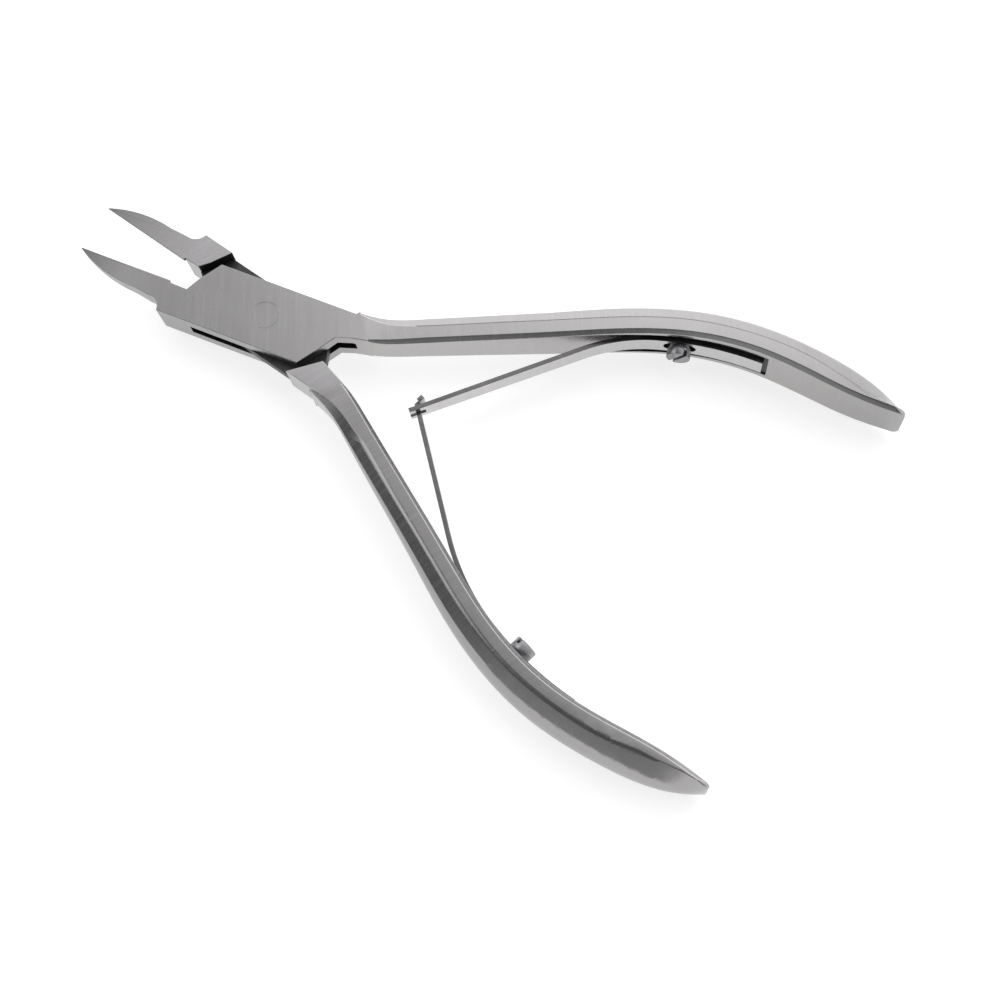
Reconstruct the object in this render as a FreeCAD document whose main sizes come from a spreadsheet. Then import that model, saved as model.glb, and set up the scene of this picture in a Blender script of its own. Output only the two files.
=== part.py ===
import FreeCAD, Part
import math
import os

import Sketcher
from FreeCAD import Placement, Rotation, Vector

# A box-lock nail nipper, millimetres. Both halves are drawn as they lie when the tool is
# closed: the pivot axis is Z through the origin, the cutting edges lie on the X axis and
# point to -X, the handles to +X. The back face of the box is at z = 0. At the end each
# half is turned about the pivot by half of the opening angle.

DRIVING = [
    ("tip_reach", 32.7), ("cutting_edge", 16.0), ("edge_gap", 0.02), ("edge_land", 0.45),
    ("opening_angle", 13.6),
    ("box_thickness", 6.2), ("box_width", 10.9), ("slot_gap", 2.0), ("slot_play", 0.03),
    ("box_front", 10.2), ("box_waist", 12.4), ("box_rear", 8.1), ("crotch_reach", 13.6),
    ("crotch_depth", 0.45), ("shoulder_gap", 0.4),
    ("jaw_root", 16.6), ("jaw_width", 3.15), ("jaw_belly", 20.0), ("jaw_fillet", 2.2),
    ("jaw_height", 3.3), ("tip_height", 0.9), ("tip_width", 0.15), ("edge_bevel_angle", 35.0),
    ("slot_front", 11.0), ("slot_rear", 14.7), ("web_reach", 9.0),
    ("root_reach", 17.0), ("root_height", 1.9), ("root_angle", 38.0), ("root_width", 5.2),
    ("root_bevel", 0.5), ("root_rim", 0.12), ("root_drop", 0.35),
    ("neck_reach", 24.0), ("neck_height", 4.4), ("rise_angle", 23.3), ("straight_length", 32.6),
    ("neck_width", 4.5), ("neck_thickness", 6.4), ("neck_bevel", 1.8), ("neck_rim", 0.2),
    ("neck_drop", 1.2),
    ("mid_width", 5.4), ("mid_thickness", 8.6), ("mid_bevel", 2.8), ("mid_rim", 0.9),
    ("mid_drop", 1.3),
    ("bow_radius", 49.6), ("bow_turn", 33.0), ("tail_radius", 64.0), ("tail_turn", 13.7),
    ("grip_width", 5.6), ("grip_thickness", 9.8), ("grip_bevel", 3.1), ("grip_rim", 1.3),
    ("grip_drop", 1.4),
    ("end_width", 0.9), ("end_thickness", 8.5), ("end_bevel", 0.45), ("end_rim", 0.15),
    ("end_drop", 2.0), ("inner_bevel", 0.6),
    ("recess_width", 6.4), ("recess_start", 45.5), ("recess_end_gap", 0.7),
    ("spring_thickness", 0.75), ("spring_width", 3.6), ("spring_tip_width", 3.0),
    ("spring_seat_gap", 0.01),
    ("seat_reach", 58.0), ("seat_height", 18.95), ("seat_angle", 17.0), ("seat_radius", 52.0),
    ("seat_end_angle", -1.5),
    ("fork_bend_radius", 26.0), ("fork_angle", 42.3), ("fork_length", 28.4),
    ("fork_slot_width", 1.1), ("fork_slot_depth", 2.5),
    ("hook_bend_radius", 37.7), ("hook_angle", 40.0), ("hook_length", 22.15),
    ("hook_turn", 60.0), ("hook_tip", 1.4), ("hook_head", 1.0), ("hook_head_width", 2.6),
    ("hook_neck_width", 0.8), ("hook_neck_length", 1.9),
    ("pin_diameter", 4.4), ("pin_play", 0.04),
    ("upper_screw_angle", 12.9), ("lower_screw_angle", 10.7),
    ("head_diameter", 3.7), ("head_height", 1.8), ("head_gap", 0.05),
    ("shank_diameter", 1.9), ("shank_length", 3.4), ("shank_play", 0.03),
    ("driver_slot_width", 0.55), ("driver_slot_depth", 0.9), ("driver_slot_turn", 35.0),
    ("spring_hole_length", 5.0), ("spring_hole_width", 2.1),
]

# Places worked out from the driving dimensions, as the text of a formula each. A name
# that ends in _x or _y is one coordinate of a corner in the closed tool.
D = "Dimensions."
PLACES = {
    "mid_plane": "Dimensions.box_thickness / 2",
    "half_width": "Dimensions.box_width / 2",
    "pad_drop": "Dimensions.box_thickness / 2 - Dimensions.tip_height",
    "web_thickness": "Dimensions.slot_gap - 2 * Dimensions.slot_play",
    "heel": "Dimensions.tip_reach - Dimensions.cutting_edge",
    "opening_depth": "Dimensions.neck_height * 1.8",
    "bow_x": "Dimensions.neck_reach + Dimensions.straight_length * cos(Dimensions.rise_angle)"
             " + Dimensions.bow_radius * sin(Dimensions.rise_angle)",
    "bow_y": "Dimensions.neck_height + Dimensions.straight_length * sin(Dimensions.rise_angle)"
             " - Dimensions.bow_radius * cos(Dimensions.rise_angle)",
    "drop_angle": "Dimensions.rise_angle - Dimensions.bow_turn",
    "tail_x": "bow_x - (Dimensions.bow_radius + Dimensions.tail_radius) * sin(drop_angle)",
    "tail_y": "bow_y + (Dimensions.bow_radius + Dimensions.tail_radius) * cos(drop_angle)",
    "seat_x": "Dimensions.seat_reach + Dimensions.seat_radius * sin(Dimensions.seat_angle)",
    "seat_y": "Dimensions.seat_height - Dimensions.seat_radius * cos(Dimensions.seat_angle)",
    "floor_radius": "Dimensions.seat_radius + Dimensions.spring_thickness / 2"
                    " + Dimensions.spring_seat_gap",
    "recess_end": "seat_x - floor_radius * sin(Dimensions.seat_end_angle)"
                  " + Dimensions.recess_end_gap",
    "fork_x": "seat_x - (Dimensions.seat_radius - Dimensions.fork_bend_radius)"
              " * sin(Dimensions.seat_angle)",
    "fork_y": "seat_y + (Dimensions.seat_radius - Dimensions.fork_bend_radius)"
              " * cos(Dimensions.seat_angle)",
    "hook_x": "seat_x - (Dimensions.seat_radius - Dimensions.hook_bend_radius)"
              " * sin(Dimensions.seat_angle)",
    "hook_y": "seat_y + (Dimensions.seat_radius - Dimensions.hook_bend_radius)"
              " * cos(Dimensions.seat_angle)",
}
# Half widths and reaches of the cuts near the tips of the two leaves.
PLACES.update({
    "slot_half": "Dimensions.fork_slot_width / 2",
    "slot_reach": "Dimensions.fork_slot_depth",
    "neck_half": "Dimensions.hook_neck_width / 2",
    "neck_start": "Dimensions.hook_head",
    "neck_end": "Dimensions.hook_head + Dimensions.hook_neck_length",
    "head_half": "Dimensions.hook_head_width / 2",
    "past_edge": "Dimensions.spring_width",
    "past_tip": "Dimensions.spring_thickness * 2",
    "leaf_half": "Dimensions.spring_width / 2",
    "tip_half": "Dimensions.spring_tip_width / 2",
    "taper_end": "seat_x - Dimensions.seat_radius * sin(Dimensions.seat_angle)",
    "taper_start": "Dimensions.neck_reach",
    "bend_angle": "Dimensions.hook_angle + Dimensions.hook_turn / 2",
    "head_angle": "Dimensions.hook_angle + Dimensions.hook_turn",
})
# Corners of the outlines of both halves. A bare number is a fixed offset in millimetres.
CORNERS = {
    "tip_inner": ("-Dimensions.tip_reach", "-Dimensions.edge_gap"),
    "heel_top": ("-heel", "-Dimensions.edge_gap"),
    "heel_step": ("-heel", "-Dimensions.crotch_depth * 0.8"),
    "crotch": ("-Dimensions.crotch_reach", "-Dimensions.crotch_depth"),
    "waist": ("-Dimensions.box_waist", "2.0"),
    "box_corner": ("-Dimensions.box_front", "half_width"),
    "handle_shoulder": ("13.3", "half_width"),
    "root_outer": ("Dimensions.root_reach - Dimensions.root_width * sin(Dimensions.root_angle)",
                   "Dimensions.root_height + Dimensions.root_width * cos(Dimensions.root_angle)"),
    "root_inner": ("Dimensions.root_reach", "Dimensions.root_height"),
    "bay": ("14.2", "1.35"),
    "bay_low": ("12.0", "0.6"),
    "rear_mid": ("Dimensions.box_rear + 2.3", "-2.0"),
    "rear_corner": ("Dimensions.box_rear", "-half_width"),
    "root_corner": ("-Dimensions.jaw_root", "-half_width"),
    "jaw_bend": ("-Dimensions.jaw_root - 2.4", "-Dimensions.jaw_width - 0.4"),
    "jaw_mid": ("-Dimensions.jaw_root - 5.4", "-Dimensions.jaw_width"),
    "tip_outer": ("-Dimensions.tip_reach", "-Dimensions.tip_width"),
    "shoulder_inner": ("-Dimensions.crotch_reach - Dimensions.shoulder_gap",
                       "-Dimensions.crotch_depth"),
    "shoulder_mid": ("-Dimensions.box_waist - Dimensions.shoulder_gap", "-2.1"),
    "shoulder_outer": ("-Dimensions.box_front - 2.2 * Dimensions.shoulder_gap", "-half_width"),
    "pad_outer": ("Dimensions.box_rear + 1.2 * Dimensions.shoulder_gap", "half_width"),
    "pad_inner": ("12.3", "0.8"),
    "slot_a": ("-Dimensions.slot_front", "-half_width - 2"),
    "slot_b": ("-Dimensions.slot_front", "-half_width"),
    "slot_c": ("-Dimensions.crotch_reach + 0.1", "-Dimensions.crotch_depth"),
    "slot_d": ("-Dimensions.crotch_reach - 1", "-Dimensions.crotch_depth + 0.25"),
    "slot_e": ("-Dimensions.crotch_reach - 1", "half_width + 2"),
    "slot_f": ("Dimensions.slot_front", "half_width + 2"),
    "slot_g": ("Dimensions.slot_front", "half_width"),
    "slot_h": ("Dimensions.slot_rear", "1.55"),
    "slot_i": ("Dimensions.slot_rear + 0.3", "0.5"),
    "slot_j": ("Dimensions.slot_rear + 0.3", "-half_width - 2"),
    "web_a": ("-Dimensions.crotch_reach", "-half_width + 0.2"),
    "web_b": ("Dimensions.web_reach", "-half_width + 0.2"),
    "web_c": ("Dimensions.web_reach + 2.2", "-1.2"),
    "web_d": ("Dimensions.web_reach + 3.4", "0.9"),
    "web_e": ("Dimensions.web_reach + 3.5", "half_width - 0.1"),
    "web_f": ("-Dimensions.web_reach", "half_width"),
    "web_g": ("-Dimensions.web_reach - 4.0", "0.35"),
    "web_h": ("-Dimensions.crotch_reach - 0.6", "-Dimensions.crotch_depth"),
}
SIZES = ("width", "thickness", "bevel", "rim", "drop")
STATIONS = ("root", "neck", "rise", "climb", "mid", "bow", "crown", "drop", "tail", "taper", "end")

doc = FreeCAD.newDocument("nail_nipper")


def fill_sheet(name, rows):
    """A spreadsheet with one named value a row."""
    sheet = doc.addObject("Spreadsheet::Sheet", name)
    for number, (alias, text) in enumerate(rows, start=1):
        sheet.set("A%d" % number, alias)
        sheet.set("B%d" % number, text)
        sheet.setAlias("B%d" % number, alias)
    return sheet


def along_straight(share):
    """Inner face point, direction and section of the handle's straight stretch."""
    step = "Dimensions.straight_length * %s" % share
    sizes = ["Dimensions.neck_%s + (Dimensions.mid_%s - Dimensions.neck_%s) * %s"
             % (size, size, size, share) for size in SIZES]
    return ["Dimensions.neck_reach + %s * cos(Dimensions.rise_angle)" % step,
            "Dimensions.neck_height + %s * sin(Dimensions.rise_angle)" % step,
            "Dimensions.rise_angle"] + sizes


def along_bow(share, sizes):
    """The same where the handle bows outward."""
    angle = "Dimensions.rise_angle - Dimensions.bow_turn * %s" % share
    return ["bow_x - Dimensions.bow_radius * sin(%s)" % angle,
            "bow_y + Dimensions.bow_radius * cos(%s)" % angle, angle] + sizes


def along_tail(share, sizes):
    """The same where the handle flares out again to its end."""
    angle = "drop_angle + Dimensions.tail_turn * %s" % share
    return ["tail_x + Dimensions.tail_radius * sin(%s)" % angle,
            "tail_y - Dimensions.tail_radius * cos(%s)" % angle, angle] + sizes


def handle_stations():
    """Every cross-section of the handle: inner point x and y, direction, and its sizes."""
    grip = ["Dimensions.grip_" + size for size in SIZES]
    half_way = ["(Dimensions.mid_%s + Dimensions.grip_%s) / 2" % (size, size) for size in SIZES]
    root = ["Dimensions.root_reach", "Dimensions.root_height", "Dimensions.root_angle",
            "Dimensions.root_width", "Dimensions.box_thickness", "Dimensions.root_bevel",
            "Dimensions.root_rim", "Dimensions.root_drop"]
    tail = ["Dimensions.grip_%s * %s" % (size, share)
            for size, share in zip(SIZES, (0.88, 0.95, 1.08, 1.0, 1.3))]
    taper = ["Dimensions.grip_%s * %s" % (size, share)
             for size, share in zip(SIZES, (0.54, 0.91, 0.71, 0.62, 1.5))]
    end = ["Dimensions.end_" + size for size in SIZES]
    return [root, along_straight("0"), along_straight("0.333"), along_straight("0.667"),
            along_straight("1"), along_bow("0.333", half_way), along_bow("0.667", grip),
            along_bow("1", grip), along_tail("0.5", tail), along_tail("0.82", taper),
            along_tail("1", end)]


def place_rows():
    """All formulas for the second sheet."""
    rows = dict(PLACES)
    for corner, (across, up) in CORNERS.items():
        rows[corner + "_x"] = across
        rows[corner + "_y"] = up
    for station, formulas in zip(STATIONS, handle_stations()):
        for suffix, formula in zip(("x", "y", "turn") + SIZES, formulas):
            rows["section_%s_%s" % (station, suffix)] = formula
    return [(alias, "=" + formula) for alias, formula in rows.items()]


dimensions = fill_sheet("Dimensions", [(alias, str(value)) for alias, value in DRIVING])
places = fill_sheet("Places", place_rows())
doc.recompute()


def origin_plane(body, role):
    """One of the body's own origin planes."""
    return [feature for feature in body.Origin.OriginFeatures if feature.Role == role][0]


def new_body(label):
    """An empty body whose label names the sub-part."""
    body = doc.addObject("PartDesign::Body", label)
    body.Label = label
    return body


def new_sketch(body, name, role):
    """An empty sketch on an origin plane of its body."""
    sketch = body.newObject("Sketcher::SketchObject", name)
    sketch.AttachmentSupport = (origin_plane(body, role), "")
    sketch.MapMode = "FlatFace"
    return sketch


def bind(sketch, kind, refs, value, formula):
    """A dimension of a sketch that follows a formula."""
    index = sketch.addConstraint(Sketcher.Constraint(kind, *refs, value))
    sketch.setExpression("Constraints[%d]" % index, formula)


def arc_between(start, end, radius, left):
    """An arc of the given radius from start to end, and whether it runs anticlockwise."""
    chord = end - start
    normal = Vector(-chord.y, chord.x, 0).normalize()
    rise = math.sqrt(max(radius ** 2 - (chord.Length / 2) ** 2, 0.0))
    centre = (start + end) * 0.5 + normal * (rise if left else -rise)
    first, last = (start, end) if left else (end, start)
    angles = [math.atan2(point.y - centre.y, point.x - centre.x) for point in (first, last)]
    circle = Part.Circle(centre, Vector(0, 0, 1), radius)
    return Part.ArcOfCircle(circle, angles[0], angles[1])


def draw_outline(sketch, corners, side=1, arcs=None):
    """A closed outline through named corners, each pinned to its place.

    side -1 mirrors it in the X axis. arcs gives, for a corner, the radius name and
    whether the arc that starts there turns left."""
    arcs = arcs or {}
    spots = [Vector(places.get(name + "_x"), side * places.get(name + "_y"), 0)
             for name in corners]
    ends = []
    for number, name in enumerate(corners):
        start, end = spots[number], spots[(number + 1) % len(spots)]
        if name in arcs:
            alias, left = arcs[name]
            left = left == (side > 0)
            edge = sketch.addGeometry(arc_between(start, end, dimensions.get(alias), left))
            bind(sketch, "Radius", (edge,), dimensions.get(alias), D + alias)
            ends.append((edge, 1, 2) if left else (edge, 2, 1))
        else:
            edge = sketch.addGeometry(Part.LineSegment(start, end))
            ends.append((edge, 1, 2))
    sign = "" if side > 0 else "-"
    for number, name in enumerate(corners):
        edge, first, _ = ends[number]
        before, _, last = ends[number - 1]
        sketch.addConstraint(Sketcher.Constraint("Coincident", before, last, edge, first))
        bind(sketch, "DistanceX", (-1, 1, edge, first), spots[number].x, "Places.%s_x" % name)
        bind(sketch, "DistanceY", (-1, 1, edge, first), spots[number].y,
             "%sPlaces.%s_y" % (sign, name))


def draw_polygon(sketch, points):
    """A closed polygon through points given as pairs of formulas with their values."""
    spots = [Vector(across, up, 0) for across, up, _, _ in points]
    edges = [sketch.addGeometry(Part.LineSegment(spots[number], spots[(number + 1) % len(spots)]))
             for number in range(len(spots))]
    for number, (across, up, across_formula, up_formula) in enumerate(points):
        sketch.addConstraint(Sketcher.Constraint("Coincident", edges[number - 1], 2,
                                                 edges[number], 1))
        bind(sketch, "DistanceX", (-1, 1, edges[number], 1), across, across_formula)
        bind(sketch, "DistanceY", (-1, 1, edges[number], 1), up, up_formula)


def prism(body, kind, name, sketch, length_formula):
    """A Pad or Pocket that reaches equally far to both sides of its sketch."""
    feature = body.newObject("PartDesign::" + kind, name)
    feature.Profile = sketch
    feature.SideType = "Symmetric"
    feature.setExpression("Length", length_formula)
    return feature


def flat_outline(body, kind, name, corners, length_formula, side=1, arcs=None):
    """A Pad or Pocket of a plan outline, equally thick about the middle plane."""
    sketch = new_sketch(body, name + "_sketch", "XY_Plane")
    sketch.setExpression("AttachmentOffset.Base.z", "Places.mid_plane")
    draw_outline(sketch, corners, side, arcs)
    return prism(body, kind, name, sketch, length_formula)


def stand_across(sketch, side, across, up, turn):
    """Stand a sketch across the handle: its X axis points outward and its Y axis up."""
    sign = "" if side > 0 else "-"
    away = "-" if side > 0 else ""
    sketch.AttachmentOffset = Placement(Vector(), Rotation(Vector(0, 1, 0), side * 90))
    sketch.setExpression("AttachmentOffset.Base.x", across)
    sketch.setExpression("AttachmentOffset.Base.y", "Places.mid_plane")
    sketch.setExpression("AttachmentOffset.Base.z", "%s(%s)" % (away, up))
    sketch.setExpression("AttachmentOffset.Rotation.Angle", "%s(90 + (%s))" % (sign, turn))


def handle_section(body, name, side):
    """One cross-section of the handle, its X axis pointing outward.

    Flat inner face, small inner bevels, flat front and back, sloping outer bevels and a
    round outer side between two rims."""
    sketch = new_sketch(body, "section_" + name, "XZ_Plane")
    stand_across(sketch, side, "Places.section_%s_x" % name, "Places.section_%s_y" % name,
                 "Places.section_%s_turn" % name)
    width, thickness, slope, rim, drop = [places.get("section_%s_%s" % (name, size))
                                          for size in SIZES]
    share = 0.5 if name in ("root", "end") else 1.0
    bevel = dimensions.get("inner_bevel") * share
    high = thickness / 2
    spots = [Vector(0, high - bevel, 0), Vector(bevel, high, 0), Vector(width - slope, high, 0),
             Vector(width - rim, high - drop, 0)]
    below = [Vector(spot.x, -spot.y, 0) for spot in reversed(spots)]
    upper = [sketch.addGeometry(Part.LineSegment(*pair)) for pair in zip(spots, spots[1:])]
    radius = (rim ** 2 + (high - drop) ** 2) / (2 * rim)
    reach = math.atan2(high - drop, radius - rim)
    circle = Part.Circle(Vector(width - radius, 0, 0), Vector(0, 0, 1), radius)
    outer = sketch.addGeometry(Part.ArcOfCircle(circle, -reach, reach))
    lower = [sketch.addGeometry(Part.LineSegment(*pair)) for pair in zip(below, below[1:])]
    inner = sketch.addGeometry(Part.LineSegment(below[-1], spots[0]))
    crest = sketch.addGeometry(Part.Point(Vector(width, 0, 0)))
    for before, after in zip(upper, upper[1:]):
        sketch.addConstraint(Sketcher.Constraint("Coincident", before, 2, after, 1))
    for before, after in zip(lower, lower[1:]):
        sketch.addConstraint(Sketcher.Constraint("Coincident", before, 2, after, 1))
    for join in ((upper[2], 2, outer, 2), (outer, 1, lower[0], 1), (lower[2], 2, inner, 1),
                 (inner, 2, upper[0], 1)):
        sketch.addConstraint(Sketcher.Constraint("Coincident", *join))
    for pair in ((inner, 1, inner, 2), (upper[0], 2, lower[2], 1), (upper[1], 2, lower[0], 2),
                 (outer, 1, outer, 2)):
        sketch.addConstraint(Sketcher.Constraint("Symmetric", *pair, -1))
    sketch.addConstraint(Sketcher.Constraint("PointOnObject", inner, 1, -2))
    sketch.addConstraint(Sketcher.Constraint("Horizontal", upper[1]))
    sketch.addConstraint(Sketcher.Constraint("PointOnObject", crest, 1, -1))
    sketch.addConstraint(Sketcher.Constraint("PointOnObject", crest, 1, outer))
    here = "Places.section_%s_" % name
    inset = "Dimensions.inner_bevel * %s" % share
    bind(sketch, "DistanceX", (-1, 1, upper[0], 2), bevel, inset)
    bind(sketch, "DistanceY", (inner, 1, inner, 2), thickness - 2 * bevel,
         "%sthickness - 2 * %s" % (here, inset))
    bind(sketch, "DistanceY", (lower[2], 1, upper[0], 2), thickness, here + "thickness")
    bind(sketch, "DistanceX", (-1, 1, crest, 1), width, here + "width")
    bind(sketch, "DistanceX", (upper[1], 2, crest, 1), slope, here + "bevel")
    bind(sketch, "DistanceX", (outer, 2, crest, 1), rim, here + "rim")
    bind(sketch, "DistanceY", (outer, 1, outer, 2), thickness - 2 * drop,
         "%sthickness - 2 * %sdrop" % (here, here))
    return sketch


def add_handle(body, side):
    """The handle, a smooth skin through its cross-sections."""
    sections = [handle_section(body, name, side) for name in STATIONS]
    loft = body.newObject("PartDesign::AdditiveLoft", "handle")
    loft.Profile = sections[0]
    loft.Sections = sections[1:]
    loft.Ruled = False
    return loft


def relieve_jaw(body, side):
    """Thin the jaw toward its tip from the back and hollow its cutting edge."""
    thick = dimensions.get("box_thickness")
    reach = dimensions.get("tip_reach") + 1.5
    wall = dimensions.get("jaw_root") + 0.5
    back = new_sketch(body, "jaw_back_sketch", "XZ_Plane")
    draw_polygon(back, [
        (-reach, -1.0, "-Dimensions.tip_reach - 1.5", "-1"),
        (-reach, thick - dimensions.get("tip_height"), "-Dimensions.tip_reach - 1.5",
         "Dimensions.box_thickness - Dimensions.tip_height"),
        (-wall - 1.2, thick - dimensions.get("jaw_height"), "-Dimensions.jaw_root - 1.7",
         "Dimensions.box_thickness - Dimensions.jaw_height"),
        (-wall - 0.3, thick - dimensions.get("jaw_height") - 0.5, "-Dimensions.jaw_root - 0.8",
         "Dimensions.box_thickness - Dimensions.jaw_height - 0.5"),
        (-wall, thick - dimensions.get("jaw_height") - 1.4, "-Dimensions.jaw_root - 0.5",
         "Dimensions.box_thickness - Dimensions.jaw_height - 1.4"),
        (-wall, -1.0, "-Dimensions.jaw_root - 0.5", "-1"),
    ])
    relief = prism(body, "Pocket", "jaw_back", back, "Dimensions.box_width * 3")

    slope = math.tan(math.radians(dimensions.get("edge_bevel_angle")))
    gap = dimensions.get("edge_gap")
    top = thick - dimensions.get("edge_land")
    sign = "-" if side > 0 else ""
    half = "(Dimensions.cutting_edge / 2 + 1)"
    hollow = new_sketch(body, "edge_bevel_sketch", "YZ_Plane")
    hollow.setExpression("AttachmentOffset.Base.z", "-Dimensions.tip_reach + %s - 2" % half)
    draw_polygon(hollow, [
        (-side * gap, top, sign + "Dimensions.edge_gap",
         "Dimensions.box_thickness - Dimensions.edge_land"),
        (-side * (gap + (top + 1) * slope), -1.0,
         sign + "(Dimensions.edge_gap + (Dimensions.box_thickness - Dimensions.edge_land + 1)"
         " * tan(Dimensions.edge_bevel_angle))", "-1"),
        (side * 1.0, -1.0, ("" if side > 0 else "-") + "1", "-1"),
        (side * 1.0, top, ("" if side > 0 else "-") + "1",
         "Dimensions.box_thickness - Dimensions.edge_land"),
    ])
    bevel = prism(body, "Pocket", "edge_bevel", hollow, "2 * " + half)
    return relief, bevel


def round_hole(body, name, diameter_formula, diameter):
    """The hole for the pivot pin, right through."""
    sketch = new_sketch(body, name + "_sketch", "XY_Plane")
    sketch.setExpression("AttachmentOffset.Base.z", "Places.mid_plane")
    circle = sketch.addGeometry(Part.Circle(Vector(), Vector(0, 0, 1), diameter / 2))
    sketch.addConstraint(Sketcher.Constraint("Coincident", circle, 3, -1, 1))
    bind(sketch, "Diameter", (circle,), diameter, diameter_formula)
    return prism(body, "Pocket", name, sketch, "Dimensions.box_thickness * 2")


def on_circle(centre, radius_formula, radius, angle, side):
    """A point of a circle about a named centre, as values and as formulas."""
    turn = math.radians(angle[0])
    across = places.get(centre + "_x") - radius * math.sin(turn)
    up = side * (places.get(centre + "_y") + radius * math.cos(turn))
    sign = "" if side > 0 else "-"
    return (across, up, "Places.%s_x - (%s) * sin(%s)" % (centre, radius_formula, angle[1]),
            "%s(Places.%s_y + (%s) * cos(%s))" % (sign, centre, radius_formula, angle[1]))


def cut_recess(body, side):
    """The spring recess in the inner face: a shallow curved floor with an end wall."""
    sketch = new_sketch(body, "recess_sketch", "XY_Plane")
    sketch.setExpression("AttachmentOffset.Base.z", "Places.mid_plane")
    radius = places.get("floor_radius")
    sign = "" if side > 0 else "-"
    corners = []
    for across in (dimensions.get("recess_start"), places.get("recess_end")):
        inward = places.get("seat_x") - across
        up = side * (places.get("seat_y") + math.sqrt(radius ** 2 - inward ** 2))
        corners.append(Vector(across, up, 0))
    start, end = corners
    formula = "%s(Places.seat_y + sqrt(Places.floor_radius^2 - (Places.seat_x - %s)^2))"
    open_y = side * places.get("opening_depth")
    floor = sketch.addGeometry(arc_between(start, end, radius, side < 0))
    first, last = (1, 2) if side < 0 else (2, 1)
    wall = sketch.addGeometry(Part.LineSegment(end, Vector(end.x, open_y, 0)))
    bottom = sketch.addGeometry(Part.LineSegment(Vector(end.x, open_y, 0),
                                                 Vector(start.x, open_y, 0)))
    back = sketch.addGeometry(Part.LineSegment(Vector(start.x, open_y, 0), start))
    for join in ((floor, last, wall, 1), (wall, 2, bottom, 1), (bottom, 2, back, 1),
                 (back, 2, floor, first)):
        sketch.addConstraint(Sketcher.Constraint("Coincident", *join))
    for edge in (wall, back):
        sketch.addConstraint(Sketcher.Constraint("Vertical", edge))
    sketch.addConstraint(Sketcher.Constraint("Horizontal", bottom))
    bind(sketch, "DistanceX", (-1, 1, wall, 1), end.x, "Places.recess_end")
    bind(sketch, "DistanceX", (-1, 1, back, 2), start.x, "Dimensions.recess_start")
    bind(sketch, "DistanceY", (-1, 1, wall, 2), open_y, sign + "Places.opening_depth")
    bind(sketch, "DistanceY", (-1, 1, wall, 1), end.y,
         formula % (sign, "Places.recess_end"))
    bind(sketch, "Radius", (floor,), radius, "Places.floor_radius")
    return prism(body, "Pocket", "recess", sketch, "Dimensions.recess_width")


def screw_spot(side):
    """The screw's place on the leaf's centre line, as a point of the upper half."""
    name = "upper_screw_angle" if side > 0 else "lower_screw_angle"
    return on_circle("seat", "Dimensions.seat_radius", dimensions.get("seat_radius"),
                     (dimensions.get(name), D + name), 1), name


def bore_for_screw(body, side):
    """The blind hole in the recess floor that takes the spring screw."""
    sketch = new_sketch(body, "screw_bore_sketch", "XZ_Plane")
    point, angle = screw_spot(side)
    stand_across(sketch, side, point[2], point[3], D + angle)
    depth = dimensions.get("shank_length") + 0.2
    half = dimensions.get("shank_diameter") / 2 + dimensions.get("shank_play")
    half_formula = "Dimensions.shank_diameter / 2 + Dimensions.shank_play"
    draw_polygon(sketch, [
        (-1.0, 0.0, "-1", "0"),
        (depth, 0.0, "Dimensions.shank_length + 0.2", "0"),
        (depth, half, "Dimensions.shank_length + 0.2", half_formula),
        (-1.0, half, "-1", half_formula),
    ])
    groove = body.newObject("PartDesign::Groove", "screw_bore")
    groove.Profile = sketch
    groove.ReferenceAxis = (sketch, ["H_Axis"])
    groove.Angle = 360
    return groove


def build_box_half():
    """The outer half: jaw low, box of two plates with a slot between, handle up."""
    body = new_body("box_half")
    flat_outline(body, "Pad", "box_and_jaw",
                 ["tip_inner", "tip_outer", "jaw_mid", "jaw_bend", "root_corner", "rear_corner",
                  "rear_mid", "bay_low", "bay", "root_inner", "root_outer", "handle_shoulder",
                  "box_corner", "waist", "crotch", "heel_step", "heel_top"],
                 "Dimensions.box_thickness", 1,
                 {"tip_outer": ("jaw_belly", True), "jaw_bend": ("jaw_fillet", False)})
    add_handle(body, 1)
    flat_outline(body, "Pocket", "slot",
                 ["slot_a", "slot_b", "slot_c", "slot_d", "slot_e", "slot_f", "slot_g",
                  "slot_h", "slot_i", "slot_j"], "Dimensions.slot_gap")
    relieve_jaw(body, 1)
    round_hole(body, "pin_bore", "Dimensions.pin_diameter", dimensions.get("pin_diameter"))
    cut_recess(body, 1)
    bore_for_screw(body, 1)
    return body


def build_inner_half():
    """The inner half: jaw high, a thin web that passes through the slot, handle down."""
    body = new_body("inner_half")
    flat_outline(body, "Pad", "web",
                 ["web_a", "web_b", "web_c", "web_d", "web_e", "web_f", "web_g", "web_h"],
                 "Places.web_thickness", -1)
    flat_outline(body, "Pad", "jaw",
                 ["tip_inner", "tip_outer", "jaw_mid", "jaw_bend", "root_corner",
                  "shoulder_outer", "shoulder_mid", "shoulder_inner", "heel_step", "heel_top"],
                 "Dimensions.box_thickness", -1,
                 {"tip_outer": ("jaw_belly", True), "jaw_bend": ("jaw_fillet", False)})
    flat_outline(body, "Pad", "rear_pad",
                 ["pad_outer", "pad_inner", "root_inner", "root_outer", "handle_shoulder"],
                 "Dimensions.box_thickness", -1)
    add_handle(body, -1)
    relieve_jaw(body, -1)
    round_hole(body, "pin_bore", "Dimensions.pin_diameter + 2 * Dimensions.pin_play",
               dimensions.get("pin_diameter") + 2 * dimensions.get("pin_play"))
    cut_recess(body, -1)
    bore_for_screw(body, -1)
    return body


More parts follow.
